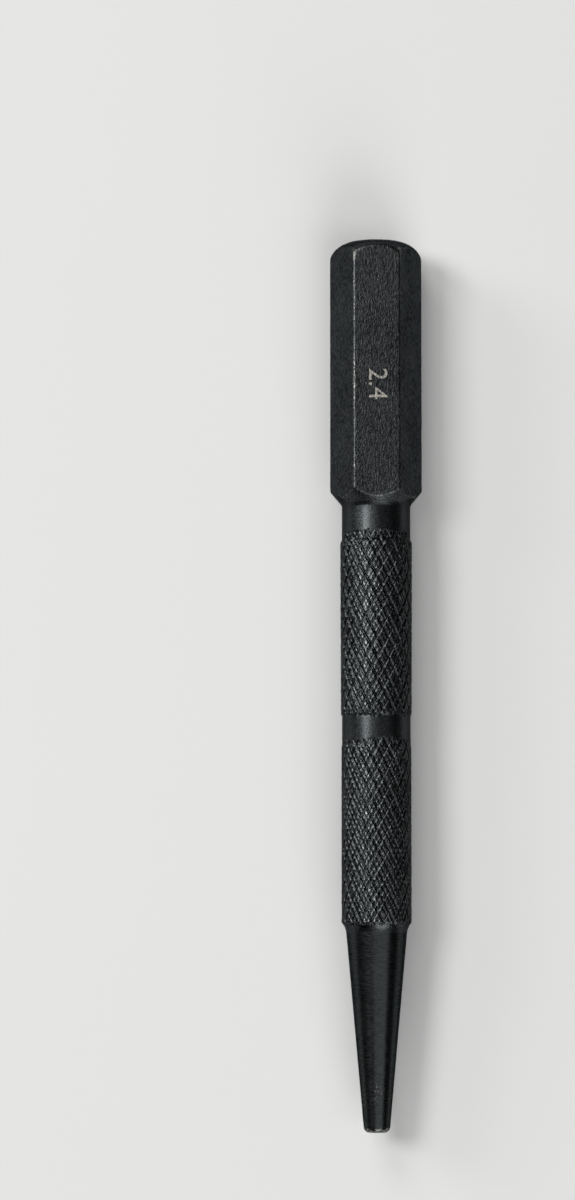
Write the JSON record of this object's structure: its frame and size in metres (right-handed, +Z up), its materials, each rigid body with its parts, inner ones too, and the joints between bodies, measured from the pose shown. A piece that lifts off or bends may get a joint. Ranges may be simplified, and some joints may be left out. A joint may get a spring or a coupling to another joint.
{
  "type": "nail setter",
  "caption": "Short steel nail punch with a domed hexagonal head, a knurled round grip and a tapered shank that ends in a small cupped point.",
  "frame": {"origin": "centre of the underside of the tool's bounding box, on the surface that one flat of the hexagonal head lies on", "axes": "+X along the tool from the point to the striking face, +Y across the tool, +Z up, out of the flat of the head opposite the one it lies on"},
  "size_m": [0.1, 0.0104, 0.009],
  "materials": {
    "blackened_hex_bar": "black oxide on drawn hexagonal bar, satin with fine lengthwise grain, worn bright along the long edges",
    "blackened_turned_steel": "black oxide on turned steel, satin with faint turning marks",
    "blackened_knurling": "black oxide on diamond knurling, crests rubbed a little brighter than the grooves"
  },
  "bodies": {
    "root": {"striking_crown": "blackened_hex_bar", "hex_head": "blackened_hex_bar", "neck": "blackened_turned_steel", "upper_knurl": "blackened_knurling", "grip_band": "blackened_turned_steel", "lower_knurl": "blackened_knurling", "tapered_shank": "blackened_turned_steel", "cupped_point": "blackened_turned_steel"}
  },
  "joints": []
}
